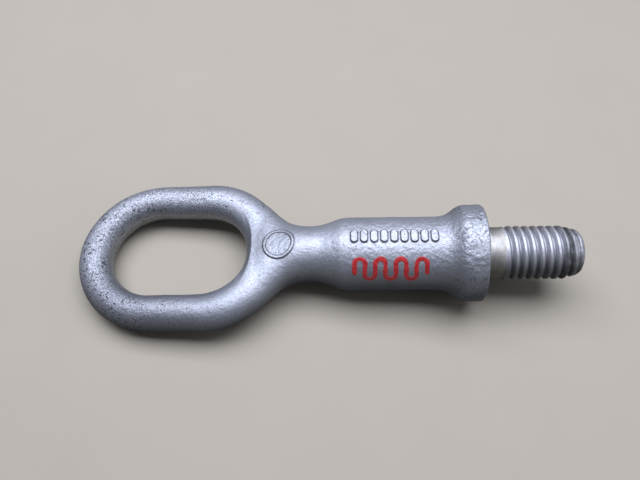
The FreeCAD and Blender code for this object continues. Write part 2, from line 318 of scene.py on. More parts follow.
def settle(shape, points, rounds=3):
    """Move points onto the zero surface of a shape."""
    for _ in range(rounds):
        lean = slope(shape, points)
        size = np.maximum((lean**2).sum(axis=1), LEAST_SLOPE_SQUARED)
        away = np.clip(shape(points), -LONGEST_MOVE, LONGEST_MOVE)
        points = points - lean * (away / size)[:, None]
    return points


def normals_of(shape, points):
    """Unit vectors square to a shape's skin."""
    lean = slope(shape, points)
    return lean / np.linalg.norm(lean, axis=1, keepdims=True)


def mesh_grid(shape, low, high, cell):
    """A quad mesh of a shape between two corners."""
    axes = [np.arange(a, b + cell, cell) for a, b in zip(low, high)]
    values = np.empty([len(a) for a in axes])
    flat = np.stack(np.meshgrid(axes[1], axes[2], indexing="ij"), axis=-1).reshape(-1, 2)
    for i, x in enumerate(axes[0]):
        slab = np.column_stack([np.full(len(flat), x), flat])
        values[i] = shape(slab).reshape(values.shape[1:])
    return surface_net(values, np.array(low, float), cell)


def refine(points, quads, wanted, cuts):
    """Cut the faces whose centres are wanted more finely. Returns a bmesh."""
    mesh = bpy.data.meshes.new("refined")
    mesh.from_pydata(points, [], quads.tolist())
    grid = bmesh.new()
    grid.from_mesh(mesh)
    bpy.data.meshes.remove(mesh)
    grid.faces.ensure_lookup_table()
    chosen = np.flatnonzero(wanted(points[quads].mean(axis=1)))
    edges = {edge for number in chosen for edge in grid.faces[number].edges}
    ordered = sorted(edges, key=lambda edge: edge.index)
    bmesh.ops.subdivide_edges(grid, edges=ordered, cuts=cuts, use_grid_fill=True)
    return grid


# ---------------------------------------------------------------- marks and skin of the forging

PAD_COUNT = 9
PAD_SPACING = 3.6
PAD_HALF_WIDTH = 1.3
PAD_HALF_LENGTH = 2.5
PAD_FIRST = SHANK_BACK + 3.8
PAD_TOP = reach("shank", 2, 1) - 0.05
RING_CENTRE = (BOW_NEAR + 29.7, 0.0)
RING_MIDDLE = 5.45
RING_HALF_WIDTH = 0.55
RING_HEIGHT = 0.42
# half the width of the sloping edge of a mark, and how ragged that edge is
EDGE = 0.22
EDGE_UNEVEN = 0.08
# how far round the marks the mesh is finer
PAD_MARGIN = 0.7
RING_MARGIN = 0.8
# stands for far from any mark
FAR_AWAY = 99.0


def pad_distance(points):
    """Distance outside the nearest raised pad, seen from above."""
    x, y = points[:, 0], points[:, 1]
    number = np.clip(np.round((x - PAD_FIRST) / PAD_SPACING), 0, PAD_COUNT - 1)
    beside = x - PAD_FIRST - number * PAD_SPACING
    along = np.maximum(np.abs(y) - (PAD_HALF_LENGTH - PAD_HALF_WIDTH), 0)
    away = np.hypot(beside, along) - PAD_HALF_WIDTH
    return np.where(points[:, 2] > 0, away, FAR_AWAY)


def from_ring_centre(points, shift=0.0):
    """Distance from the ring's centre seen from above, or from a place that far back of it."""
    return np.hypot(points[:, 0] - RING_CENTRE[0] + shift, points[:, 1] - RING_CENTRE[1])


def ring_distance(points):
    """Distance outside the raised ring, seen from above."""
    away = np.abs(from_ring_centre(points) - RING_MIDDLE) - RING_HALF_WIDTH
    return np.where(points[:, 2] > 0, away, FAR_AWAY)


def near_marks(points):
    return (pad_distance(points) < PAD_MARGIN) | (ring_distance(points) < RING_MARGIN)


def raise_marks(points):
    """Lift the pads and the ring off the skin, straight up."""
    uneven = EDGE_UNEVEN * noise(points, 0.7, seed=4)
    pads = smooth_step(EDGE, -EDGE, pad_distance(points) + uneven)
    ring = smooth_step(EDGE, -EDGE, ring_distance(points) + uneven)
    lift = np.maximum(PAD_TOP - points[:, 2], 0) * pads + RING_HEIGHT * ring
    raised = points.copy()
    raised[:, 2] += lift
    return raised


NICK_COUNT = 26
NICK_SPOTS = np.column_stack(
    [
        rng.uniform(FAR_END, -2, NICK_COUNT),
        rng.uniform(-EYE_REACH, EYE_REACH, NICK_COUNT),
        rng.uniform(-COLLAR, COLLAR, NICK_COUNT),
    ]
)
NICK_SIZES = rng.uniform(0.4, 0.8, NICK_COUNT)
# the nicks' centres, moved onto the forging's skin
NICKS = settle(forging, NICK_SPOTS, rounds=60)
# depth of a nick for each millimetre of its size, and how much narrower it is across than along
NICK_DEPTH = 0.12
NICK_SQUEEZE = (1, 1.4, 1)

# height and size of the waves left by the die
DIE_WAVES = [(0.1, 13.0), (0.045, 5.0), (0.03, 2.1), (0.02, 1.1)]
HAMMER_HEIGHT = 0.035
SEAM_HALF_HEIGHT = 0.75
SEAM_RISE = 0.14
# how far the whole skin is lowered, to make room for its waves inside the CAD box
SKIN_DROP = 0.12


def shank_share(x):
    """0 up to the neck, 1 on the shank and the collar."""
    return smooth_step(NECK_BACK + 6, SHANK_BACK + 4, x)


def seam_height(points):
    """The trimmed flash, all round the eye and fading out along the neck."""
    x, y, z = points.T
    forged = smooth_step(SHANK_BACK + 6, NECK_BACK - 2, x)
    seam = np.exp(-((z / SEAM_HALF_HEIGHT) ** 2)) * forged * np.where(np.abs(y) > 6, 1, 0.6)
    return seam * (SEAM_RISE + 0.1 * noise(points, 3.0, seed=5))


def collar_roughness(points):
    """The uneven rim of the collar, lower on the whole than its smooth shape."""
    x, y, z = points.T
    on_rim = smooth_step(COLLAR - 3.5, COLLAR - 0.8, np.hypot(y, z)) * smooth_step(-14, -9, x)
    return on_rim * (0.1 * noise(points, 2.6, seed=6) + 0.06 * noise(points, 1.2, seed=7) - 0.06)


def nick_depth(points):
    """How deep the nicks are cut into the skin."""
    depth = np.zeros(len(points))
    for spot, size in zip(NICKS, NICK_SIZES):
        away = np.linalg.norm((points - spot) * NICK_SQUEEZE, axis=1) / size
        depth += NICK_DEPTH * size * np.exp(-(away**4))
    return depth


def skin_height(points):
    """How far the forging's skin stands off its smooth shape."""
    height = seam_height(points) + collar_roughness(points) - nick_depth(points) - SKIN_DROP
    for seed, (tall, size) in enumerate(DIE_WAVES):
        height += tall * noise(points, size, seed=seed)
    return height + HAMMER_HEIGHT * shank_share(points[:, 0]) * noise(points, 1.7, seed=11)


# ---------------------------------------------------------------- objects


def new_object(name, mesh, material):
    """A smooth-shaded object in the scene."""
    item = bpy.data.objects.new(name, mesh)
    bpy.context.scene.collection.objects.link(item)
    mesh.materials.append(material)
    mesh.shade_smooth()
    return item


def store(mesh, name, values):
    """Keep a number per vertex for the materials."""
    layer = mesh.attributes.new(name, "FLOAT", "POINT")
    layer.data.foreach_set("value", np.asarray(values, np.float32))


def read_points(mesh):
    flat = np.empty(len(mesh.vertices) * 3)
    mesh.vertices.foreach_get("co", flat)
    return flat.reshape(-1, 3)


def write_points(mesh, points):
    mesh.vertices.foreach_set("co", np.asarray(points, np.float32).ravel())
    mesh.update()


def underside_shade(upward, unshaded, fully_shaded):
    """How much painted shade a skin gets, by how far its normal points up: most on the lower sides.
    """
    return smooth_step(unshaded, fully_shaded, upward) * (1 - 0.6 * smooth_step(-0.6, -0.95, upward))


FAR_DULLNESS = 0.25
# how dark the painted shade round the ring is, and how far it reaches
WEB_SHADE = 0.55
WEB_REACH = 8
BLOTCHES = 0.25


def dullness_and_shade(points):
    """Where the coating is darker: duller at the far end of the eye, with painted shade on its -Y
    side and round the ring.
    """
    x, y, _ = points.T
    far = FAR_DULLNESS * smooth_step(BOW_FAR + 4, FAR_END + 8, x)
    # painted shade on the eye's -Y side
    low_side = smooth_step(-8, -20, y) * smooth_step(NECK_BACK - 8, BOW_NEAR, x)
    # painted shade round the ring, a little towards the eye
    web = WEB_SHADE * np.exp(-((from_ring_centre(points, shift=2) / WEB_REACH) ** 2))
    blotches = BLOTCHES * noise(points, 9.0, seed=10)
    return np.clip(np.maximum(far, low_side) + web + blotches, 0, 1)


def inside_eye(points):
    """1 on the wall of the eye's opening, 0 on the rest of the forging."""
    x, y, _ = points.T
    on_eye = smooth_step(BOW_NEAR + 21, BOW_NEAR + 19, x)
    return smooth_step(-1.5, -5.5, across_bar(x, y)) * on_eye


STEM_COARSENESS = [
    (BOW_NEAR + 20, 0.65),
    (NECK_BACK, 0.65),
    (SHANK_BACK + 4, 0.6),
    (FLARE_BACK, 0.6),
    (-10.0, 0.7),
    (0.0, 0.7),
]
# on the -Y limb and on the +Y limb
LIMB_COARSENESS = (0.85, 1.6)
FAR_COARSENESS = 1.45


def coarseness(points):
    """How strongly the blasted grain shows: most on the eye's +Y limb, least on the shank."""
    x, y, _ = points.T
    low_side, high_side = LIMB_COARSENESS
    limb = low_side + (high_side - low_side) * smooth_step(-14, 14, y)
    far = smooth_step(BOW_FAR + 12, BOW_FAR - 12, x)
    eye = limb + (FAR_COARSENESS - limb) * far
    along_stem = curve_through(STEM_COARSENESS, x)
    return along_stem + (eye - along_stem) * smooth_step(BOW_NEAR + 12, BOW_NEAR - 6, x)


DENTS_ELSEWHERE = 0.4
DENTS_ON_SHANK = 1.1
DENTS_IN_RING = 1.3


def hammering(points):
    """How strongly the small dents show: most inside the ring, then on the shank, least elsewhere."""
    in_ring = smooth_step(RING_MIDDLE, RING_MIDDLE - 1.5, from_ring_centre(points))
    on_shank_too = (DENTS_ON_SHANK - DENTS_ELSEWHERE) * shank_share(points[:, 0])
    return np.maximum(DENTS_ELSEWHERE + on_shank_too, DENTS_IN_RING * in_ring)


# how far outside a mark's edge the painted shade in its crease lies, and how wide it spreads
CREASE_OFFSET = 0.1
CREASE_SPREAD = 0.3


def mark_foot_shade(points):
    """1 along the foot of the raised marks, where painted shade darkens the crease, 0 away from them.
    """
    from_pads = np.abs(pad_distance(points) - CREASE_OFFSET)
    from_ring = np.abs(ring_distance(points) - CREASE_OFFSET)
    return np.exp(-((np.minimum(from_pads, from_ring) / CREASE_SPREAD) ** 2))


CELL = 0.46
GRID_MARGIN = 1.0


def smooth_forging():
    """A mesh of the forging's smooth shape, in millimetres and finer round the marks."""
    low = (FAR_END - GRID_MARGIN, -EYE_REACH - GRID_MARGIN, -COLLAR - GRID_MARGIN)
    high = (GRID_MARGIN, EYE_REACH + GRID_MARGIN, COLLAR + GRID_MARGIN)
    points, quads = mesh_grid(forging, low, high, CELL)
    grid = refine(settle(forging, points), quads, near_marks, cuts=2)
    mesh = bpy.data.meshes.new("forging")
    grid.to_mesh(mesh)
    grid.free()
    return mesh


def store_wear(mesh, points, normals):
    """Keep the numbers that tell the material where the forging gets painted shade and a painted
    reflection, and where it is dull, coarse or dented.
    """
    # a painted reflection of the floor on the wall of the eye's opening
    opening_reflection = inside_eye(points) * smooth_step(0.6, 0.1, normals[:, 2])
    seat = 0.8 * smooth_step(0.5, 1.0, normals[:, 0])
    unshaded = np.maximum(0.9 * opening_reflection, seat)
    store(mesh, "mark_foot_shade", mark_foot_shade(points))
    store(mesh, "opening_reflection", opening_reflection)
    # painted shade on the forging's lower sides, kept off the wall of the eye's opening and off the
    # seat
    store(mesh, "painted_shade", underside_shade(normals[:, 2], 0.9, -0.05) * (1 - unshaded))
    store(mesh, "dull_and_shade", dullness_and_shade(points))
    store(mesh, "coarse", coarseness(points))
    store(mesh, "hammered", hammering(points))


def make_forging(material):
    mesh = smooth_forging()
    smooth = settle(forging, read_points(mesh), rounds=2)
    normals = normals_of(forging, smooth)
    skin = smooth + normals * skin_height(smooth)[:, None]
    write_points(mesh, raise_marks(skin) * MM)
    store_wear(mesh, smooth, normals)
    return new_object("forging", mesh, material)


# ---------------------------------------------------------------- turned and rolled end

FILLET_SIZE = 0.8
# the fillet's radius about the axis, at the seat
FILLET = RELIEF + FILLET_SIZE
# how far the relief reaches into the forging
RELIEF_ROOT = -0.6
TOOL_MARK_DEPTH = 0.012
TOOL_MARK_SPACING = 0.42

PITCH = 3.0
# a worn and coated thread: shallower and rounder than the CAD's
DEPTH = 1.45
ROOT_FLAT = 0.5
ROOT_ROUNDING = 0.25
CREST_ROUNDING = 0.24
FLANK = math.tan(math.radians(30))
# where the groove's middle crosses the top of the bolt for the first time
GROOVE_AT_TOP = 6.5
LEAD_TURN = PITCH
TAPER_FROM = THREAD_END - 4.0
THREAD_END_RADIUS = reach("tip", 2, 1)

# the tip's rounded corner: its size along and across the axis, and how far round it goes
TIP_CORNER_ALONG = 2.924
TIP_CORNER_ACROSS = 3.162
TIP_CORNER_TURN = math.radians(76)
TIP_CORNER_RINGS = 26
DOME_RINGS = 14

RELIEF_SIDES = 144
RELIEF_STEP = 0.15
THREAD_SIDES = 168
THREAD_STEP = 0.1


# how dark the painted shade on the +Y side of the turned end gets
UPPER_SIDE_SHADE = 0.8


def upper_side_shade(turn):
    """The painted shade on the +Y side of the turned end, by the angle about the axis from +Y."""
    return UPPER_SIDE_SHADE * smooth_step(0.45, 0.85, np.cos(turn))


def revolve_grid(stations, angles, radius_at):
    """Points of a surface about the bolt's axis, with radius_at(stations, angles) for its radii."""
    x, turn = np.meshgrid(stations, angles, indexing="ij")
    radius = radius_at(x, turn)
    return np.stack([x, radius * np.cos(turn), radius * np.sin(turn)], axis=-1)


def tube_mesh(name, grid):
    """A closed mesh of a grid whose rows are rings, with a flat face over each end."""
    rows, around = grid.shape[:2]
    faces = []
    for row in range(rows - 1):
        for i in range(around):
            j = (i + 1) % around
            a, b = row * around, (row + 1) * around
            faces.append((a + i, a + j, b + j, b + i))
    faces.append(list(range(around))[::-1])
    faces.append(list(range((rows - 1) * around, rows * around)))
    mesh = bpy.data.meshes.new(name)
    mesh.from_pydata(grid.reshape(-1, 3) * MM, [], faces)
    mesh.update()
    return mesh


def make_relief(material):
    """The fillet at the seat and the plain turned stretch beside it."""
    bend = np.linspace(0, math.pi / 2, 9)
    fillet_x = FILLET_SIZE * (1 - np.cos(bend))
    fillet_r = FILLET - FILLET_SIZE * np.sin(bend)
    plain_x = np.append(np.arange(1.0, RELIEF_END, RELIEF_STEP), RELIEF_END)
    stations = np.concatenate([[RELIEF_ROOT], fillet_x, plain_x])
    radii = np.concatenate([[FILLET], fillet_r, np.full(len(plain_x), RELIEF)])

    def radius_at(x, _):
        marks = np.sin(x * 2 * math.pi / TOOL_MARK_SPACING) * smooth_step(0.9, 1.6, x)
        return np.interp(x, stations, radii) + TOOL_MARK_DEPTH * (marks - 1)

    angles = np.linspace(0, 2 * math.pi, RELIEF_SIDES, endpoint=False)
    mesh = tube_mesh("relief", revolve_grid(stations, angles, radius_at))
    # painted shade on the relief's lower side and on its +Y side
    around = np.maximum(underside_shade(np.sin(angles), 0.85, 0.2), upper_side_shade(angles))
    store(mesh, "painted_shade", np.tile(around, len(stations)))
    return new_object("relief", mesh, material)


def groove_depth(x, turn):
    """How deep the groove is cut at a station and an angle about the axis."""
    from_top = (turn - math.pi / 2) % (2 * math.pi)
    along = x - GROOVE_AT_TOP - PITCH * from_top / (2 * math.pi)
    turns = np.round(along / PITCH)
    from_middle = np.abs(along - turns * PITCH)
    centre = x - (along - turns * PITCH)
    full = DEPTH * smooth_step(0, LEAD_TURN, centre - GROOVE_AT_TOP)
    wall = (from_middle - ROOT_FLAT / 2) / FLANK
    depth = smooth_min(full - smooth_max(wall, 0, ROOT_ROUNDING), full, 0.05)
    return np.maximum(smooth_max(depth, 0, CREST_ROUNDING), 0)


def blank_radius(x):
    """The threaded end before its groove: run-in cone, crest, taper."""
    knots = [
        (RELIEF_END, RELIEF),
        (RELIEF_END + 1.5, CREST),
        (TAPER_FROM, CREST),
        (THREAD_END, THREAD_END_RADIUS),
    ]
    xs, radii = np.array(knots).T
    return np.interp(x, xs, radii)


def tip_profile():
    """Stations and radii from the thread's end over the rounded corner and the dome."""
    bend = np.linspace(0.05, 1, TIP_CORNER_RINGS) ** 0.9 * TIP_CORNER_TURN
    x = THREAD_END + TIP_CORNER_ALONG * np.sin(bend)
    r = THREAD_END_RADIUS - TIP_CORNER_ACROSS * (1 - np.cos(bend))
    dome_r = r[-1] * np.linspace(0.94, 0.02, DOME_RINGS)
    rise = TIP_END - x[-1] - 0.02
    dome_x = x[-1] + rise * (1 - (dome_r / r[-1]) ** 2)
    return np.concatenate([x, dome_x]), np.concatenate([r, dome_r])


def wear(points, from_axis):
    """How far the worn skin of the threaded end stands off its turned shape: most at the taper."""
    x = points[:, 0]
    worn = 0.05 * noise(points, 1.6, seed=8) + 0.03 * noise(points, 0.8, seed=9) - 0.01
    worn *= smooth_step(RELIEF_END, RELIEF_END + 2, x)
    worn *= 1 + 1.6 * smooth_step(TAPER_FROM - 2, THREAD_END, x)
    return worn * smooth_step(0.5, 4.0, from_axis)


# the middle of the tip gets as much painted shade as a side that faces up by this much
TIP_UPWARD = 0.75


def threaded_end_shade(turn, from_axis):
    """The painted shade on the threaded end, evened out towards the middle of the tip."""
    sideways = smooth_step(0.2, 0.95, from_axis / THREAD_END_RADIUS)
    upward = TIP_UPWARD + (np.sin(turn) - TIP_UPWARD) * sideways
    return np.maximum(underside_shade(upward, 1.0, 0.2), upper_side_shade(turn) * sideways)


def make_threaded_end(material):
    tip_x, tip_r = tip_profile()
    thread_x = np.arange(RELIEF_END, THREAD_END, THREAD_STEP)
    stations = np.concatenate([thread_x, tip_x])
    radii = np.concatenate([blank_radius(thread_x), tip_r])

    def radius_at(x, turn):
        fade = smooth_step(THREAD_END + 1.2, THREAD_END - 1.0, x)
        return np.interp(x, stations, radii) - groove_depth(x, turn) * fade

    angles = np.linspace(0, 2 * math.pi, THREAD_SIDES, endpoint=False)
    grid = revolve_grid(stations, angles, radius_at)
    points = grid.reshape(-1, 3)
    from_axis = np.hypot(points[:, 1], points[:, 2])
    outward = points * (0, 1, 1) / np.maximum(from_axis, TINY)[:, None]
    worn = wear(points, from_axis)
    skin = points + outward * worn[:, None]
    mesh = tube_mesh("threaded_end", skin.reshape(grid.shape))
    x, turn = np.meshgrid(stations, angles, indexing="ij")
    store(mesh, "groove", (groove_depth(x, turn) / DEPTH).ravel())
    # painted shade on the threaded end's lower and +Y sides
    store(mesh, "painted_shade", threaded_end_shade(turn.ravel(), from_axis + worn))
    return new_object("threaded_end", mesh, material)


# ---------------------------------------------------------------- paint-pen stroke

WAVE_MIDDLE = -34.4
WAVE_SPACING = 7.4
WAVE_HUMPS = 4
WAVE_HALF_HEIGHT = 2.3
STROKE_HALF_WIDTH = 0.86
# how far the stroke's middle lies from the shank's top, round towards -Y
WAVE_TILT = math.radians(52)
# thickness of the film of paint over its rim
FILM = 0.03
# how far the film's rim stands off the skin, and how far its underside is sunk into it
RIM_LIFT = 0.012
SUNK = 0.03


def wave_path(step=0.2):
    """The middle of the stroke on the shank laid out flat: x, and arc length towards +Z."""
    half = WAVE_SPACING / 4
    first = WAVE_MIDDLE - (WAVE_HUMPS - 1) * WAVE_SPACING / 2 - half
    last_leg = 2 * WAVE_HUMPS - 1
    points = [(first, -WAVE_HALF_HEIGHT)]
    for leg in range(last_leg + 1):
        x = first + leg * 2 * half
        up = 1 if leg % 2 == 0 else -1
        points.append((x, up * WAVE_HALF_HEIGHT))
        for bend in np.linspace(0, math.pi, 13)[1:] if leg < last_leg else ():
            along = half * (1 - math.cos(bend))
            points.append((x + along, up * (WAVE_HALF_HEIGHT + half * math.sin(bend))))
    corners = np.array(points)
    lengths = np.concatenate([[0], np.cumsum(np.linalg.norm(np.diff(corners, axis=0), axis=1))])
    spots = np.arange(0, lengths[-1], step)
    return np.column_stack([np.interp(spots, lengths, corners[:, i]) for i in (0, 1)])


def on_shank(x, arc, lift):
    """Points on the shank's finished skin, lifted off it."""
    angle = math.pi / 2 + WAVE_TILT - arc / SHANK
    outward = np.stack([np.zeros_like(x), np.cos(angle), np.sin(angle)], axis=-1)
    base = np.stack([x, SHANK * np.cos(angle), SHANK * np.sin(angle)], axis=-1)
    height = skin_height(base.reshape(-1, 3)).reshape(x.shape) + lift
    return base + outward * height[..., None]


def ragged_edge(middle, side):
    """The stroke's half width along one of its two sides, tapered at both ends of the stroke."""
    spots = np.column_stack([middle, np.zeros(len(middle))])
    slow = 0.22 * noise(spots, 2.2, seed=20 + side)
    quick = 0.12 * noise(spots, 0.5, seed=30 + side)
    number = np.arange(len(middle))
    taper = np.minimum(1, (np.minimum(number, number[::-1]) + 1.5) / 5)
    return STROKE_HALF_WIDTH * (1 + slow + quick) * taper


def make_paint(material):
    middle = wave_path()
    along = np.gradient(middle, axis=0)
    along /= np.linalg.norm(along, axis=1, keepdims=True)
    side = np.column_stack([-along[:, 1], along[:, 0]])
    across = np.linspace(-1, 1, 9)
    upper, lower = (ragged_edge(middle, side=k)[:, None] for k in (0, 1))
    offset = across * np.where(across > 0, upper, lower)
    x = middle[:, :1] + side[:, :1] * offset
    arc = middle[:, 1:] + side[:, 1:] * offset
    crown = np.clip(1 - across**2, 0, 1) ** 0.1
    top = on_shank(x, arc, FILM * crown + RIM_LIFT)
    bottom = on_shank(x, arc, -SUNK)
    mesh = tube_mesh("paint_stroke", np.concatenate([top, bottom[:, ::-1]], axis=1))
    return new_object("paint_stroke", mesh, material)


# ---------------------------------------------------------------- materials


class Nodes:
    """A material and short ways to add nodes to it."""

    def __init__(self, name):
        self.material = bpy.data.materials.new(name)
        self.material.use_nodes = True
        self.tree = self.material.node_tree
        self.shader = self.tree.nodes["Principled BSDF"]
        self.place = self.tree.nodes.new("ShaderNodeTexCoord").outputs["Object"]

    def add(self, kind, values=None, links=None, **settings):
        node = self.tree.nodes.new(kind)
        for name, setting in settings.items():
            setattr(node, name, setting)
        for name, number in (values or {}).items():
            node.inputs[name].default_value = number
        for name, source in (links or {}).items():
            self.tree.links.new(source, node.inputs[name])
        return node

    def noise(self, size, detail=2.0, roughness=0.5, place=None):
        """Noise whose lumps are about the given size in millimetres."""
        values = {"Scale": 1000 / size, "Detail": detail, "Roughness": roughness}
        return self.add("ShaderNodeTexNoise", values, {"Vector": place or self.place}).outputs["Fac"]

    def spread(self, source, low, high, to_low=0.0, to_high=1.0):
        """A number mapped from one range to another and held inside it."""
        values = {"From Min": low, "From Max": high, "To Min": to_low, "To Max": to_high}
        return self.add("ShaderNodeMapRange", values, {"Value": source}).outputs["Result"]

    def combine(self, operation, a, b):
        node = self.add("ShaderNodeMath", operation=operation)
        for socket, given in zip(node.inputs, (a, b)):
            if isinstance(given, (int, float)):
                socket.default_value = given
            else:
                self.tree.links.new(given, socket)
        return node.outputs[0]

    def number(self, name):
        """A number kept per vertex."""
        return self.add("ShaderNodeAttribute", attribute_name=name).outputs["Fac"]

    def share(self, source, most):
        """A number between 0 and 1, scaled so that 1 becomes the given most."""
        return self.spread(source, 0, 1, 0, most)

    def mix(self, share, a, b):
        """A colour between two colours."""
        node = self.add("ShaderNodeMix", data_type="RGBA")
        self.tree.links.new(share, node.inputs["Factor"])
        for socket, given in ((node.inputs[6], a), (node.inputs[7], b)):
            if isinstance(given, tuple):
                socket.default_value = (*given, 1)
            else:
                self.tree.links.new(given, socket)
        return node.outputs[2]

    def bump(self, height, depth, under=None, strength=None):
        """A bump of the given depth in millimetres, over another one."""
        values = {"Distance": depth * MM}
        links = {"Height": height}
        if under is not None:
            links["Normal"] = under
        if strength is not None:
            links["Strength"] = strength
        return self.add("ShaderNodeBump", values, links).outputs["Normal"]

    def connect(self, **links):
        """Connect sockets of the shader, with _ for spaces in their names."""
        for name, source in links.items():
            self.tree.links.new(source, self.shader.inputs[name.replace("_", " ")])


# Colours are linear red, green and blue. Places in the materials are in metres, as the meshes are.
COATING_DARK = (0.165, 0.174, 0.203)
COATING_BRIGHT = (0.42, 0.444, 0.515)
COATING_SMOOTH = (0.41, 0.436, 0.505)
COATING_CLOUD = (0.27, 0.28, 0.31)
# a darker, duller coating, partly painted shade
COATING_DULL_AND_SHADE = (0.14, 0.148, 0.175)
# painted reflection of the floor on the wall of the eye's opening
OPENING_WALL_REFLECTION = (0.33, 0.33, 0.305)
SPECK_DIRT = (0.045, 0.045, 0.052)
# painted shade in the creases at the foot of the raised marks
CREASE_SHADE = (0.09, 0.09, 0.10)
# painted shade on the lower sides
UNDERSIDE_SHADE = (0.052, 0.060, 0.072)

# where the specks grow thicker, from and to, and how much thicker on the +Y side
FAR_EYE_X = (-0.095, -0.15)
COLLAR_X = (-0.016, -0.009)
HIGH_SIDE_Y = (0.006, 0.012)
HIGH_SIDE_SPECKS = 0.45


def specks(m, far_eye, collar, high_side):
    """Small dark specks in patches: many on the far bend and the collar, some on the +Y side."""
    amount = m.combine("MAXIMUM", m.combine("MAXIMUM", far_eye, collar), high_side)
    threshold = m.spread(amount, 0, 1, 0.645, 0.53)
    lumps = m.noise(1.05, detail=3.0, roughness=0.7)
    speck = m.spread(m.combine("SUBTRACT", lumps, threshold), 0.0, 0.05)
    patches = m.spread(m.noise(5.0, detail=2.0), 0.40, 0.56)
    fainter_on_collar = m.spread(collar, 0, 1, 1.0, 0.6)
    return m.combine("MULTIPLY", m.combine("MULTIPLY", speck, patches), fainter_on_collar)


def coating_tone(m, grain, coarse):
    """The bare coating: blasted flakes, smoother stretches, clouds, and dull areas with painted
    shade.
    """
    sparkle = m.combine("MULTIPLY", m.combine("SUBTRACT", grain, 0.5), coarse)
    tone = m.mix(m.spread(sparkle, -0.18, 0.18), COATING_DARK, COATING_BRIGHT)
    tone = m.mix(m.spread(coarse, 0.45, 1.0, 0.5, 0.0), tone, COATING_SMOOTH)
    cloud = m.noise(9.0, detail=3.0)
    tone = m.mix(m.spread(cloud, 0.35, 0.65, 0.0, 0.3), tone, COATING_CLOUD)
    # darker where the coating is duller and where shade is painted
    return m.mix(m.share(m.number("dull_and_shade"), 0.5), tone, COATING_DULL_AND_SHADE)


def forged_skin():
    m = Nodes("forged_skin")
    m.shader.inputs["Metallic"].default_value = 0.9
    m.shader.inputs["Specular Tint"].default_value = (0.6, 0.6, 0.62, 1)
    grain = m.noise(0.6, detail=4.0, roughness=0.65)
    coarse = m.number("coarse")
    x, y, _ = m.add("ShaderNodeSeparateXYZ", links={"Vector": m.place}).outputs
    far_eye = m.spread(x, *FAR_EYE_X)
    high_side = m.spread(y, *HIGH_SIDE_Y, 0.0, HIGH_SIDE_SPECKS)
    speck = specks(m, far_eye, m.spread(x, *COLLAR_X), high_side)

    tone = m.mix(speck, coating_tone(m, grain, coarse), SPECK_DIRT)
    # painted shade in the creases at the foot of the raised marks
    tone = m.mix(m.share(m.number("mark_foot_shade"), 0.75), tone, CREASE_SHADE)
    # painted shade on the lower sides
    tone = m.mix(m.share(m.number("painted_shade"), 0.85), tone, UNDERSIDE_SHADE)
    # painted reflection of the floor on the wall of the eye's opening
    tone = m.mix(m.share(m.number("opening_reflection"), 0.5), tone, OPENING_WALL_REFLECTION)

    rough = m.spread(grain, 0.3, 0.7, 0.58, 0.47)
    rough = m.combine("ADD", rough, m.spread(coarse, 0.4, 1.0, 0.09, 0.0))
    rough = m.combine("ADD", rough, m.share(speck, 0.2))
    rough = m.combine("ADD", rough, m.share(far_eye, 0.07))
    height = m.bump(m.noise(1.6, detail=2.0), 0.3, strength=m.number("hammered"))
    height = m.bump(grain, 0.16, under=height, strength=coarse)
    height = m.bump(m.spread(speck, 0, 1, 1, 0), 0.03, under=height)
    m.connect(Base_Color=tone, Roughness=rough, Normal=height)
    return m.material


TURNED_DARK = (0.34, 0.335, 0.325)
TURNED_BRIGHT = (0.445, 0.445, 0.44)
TURNED_CLOUD = (0.24, 0.235, 0.215)
# painted shade on the relief's lower and +Y sides
TURNED_SHADE = (0.075, 0.073, 0.062)
# squeezes the noise along the axis and draws it out round it, as turning marks lie
TURNING_SCALE = (6.0, 0.25, 0.25)


def turned_steel():
    m = Nodes("turned_steel")
    m.shader.inputs["Metallic"].default_value = 1.0
    m.shader.inputs["Anisotropic"].default_value = 0.4
    drawn_out = {"Scale": TURNING_SCALE}
    round_axis = m.add("ShaderNodeMapping", drawn_out, {"Vector": m.place}).outputs[0]
    lines = m.noise(1.2, detail=3.0, place=round_axis)
    cloud = m.noise(2.5, detail=2.0)
    tone = m.mix(m.spread(lines, 0.35, 0.65), TURNED_DARK, TURNED_BRIGHT)
    tone = m.mix(m.spread(cloud, 0.5, 0.75, 0, 0.4), tone, TURNED_CLOUD)
    # painted shade on the relief's lower and +Y sides
    tone = m.mix(m.share(m.number("painted_shade"), 0.8), tone, TURNED_SHADE)
    rough = m.spread(cloud, 0.3, 0.7, 0.60, 0.68)
    m.connect(Base_Color=tone, Roughness=rough, Normal=m.bump(lines, 0.012))
    return m.material


ROLLED_DARK = (0.335, 0.344, 0.386)
ROLLED_BRIGHT = (0.49, 0.501, 0.557)
# the thread's roots: painted shade that hides their highlight, and dirt
ROOT_SHADE_AND_DIRT = (0.08, 0.078, 0.082)
TIP_DIRT = (0.06, 0.06, 0.066)
# painted shade on the thread's lower and +Y sides
ROLLED_SHADE = (0.06, 0.062, 0.068)
# the dirty band before the tip: where it starts, and where it thins out again
TIP_BAND_START_X = (0.0275, 0.0295)
TIP_BAND_END_X = (0.0305, 0.0325)


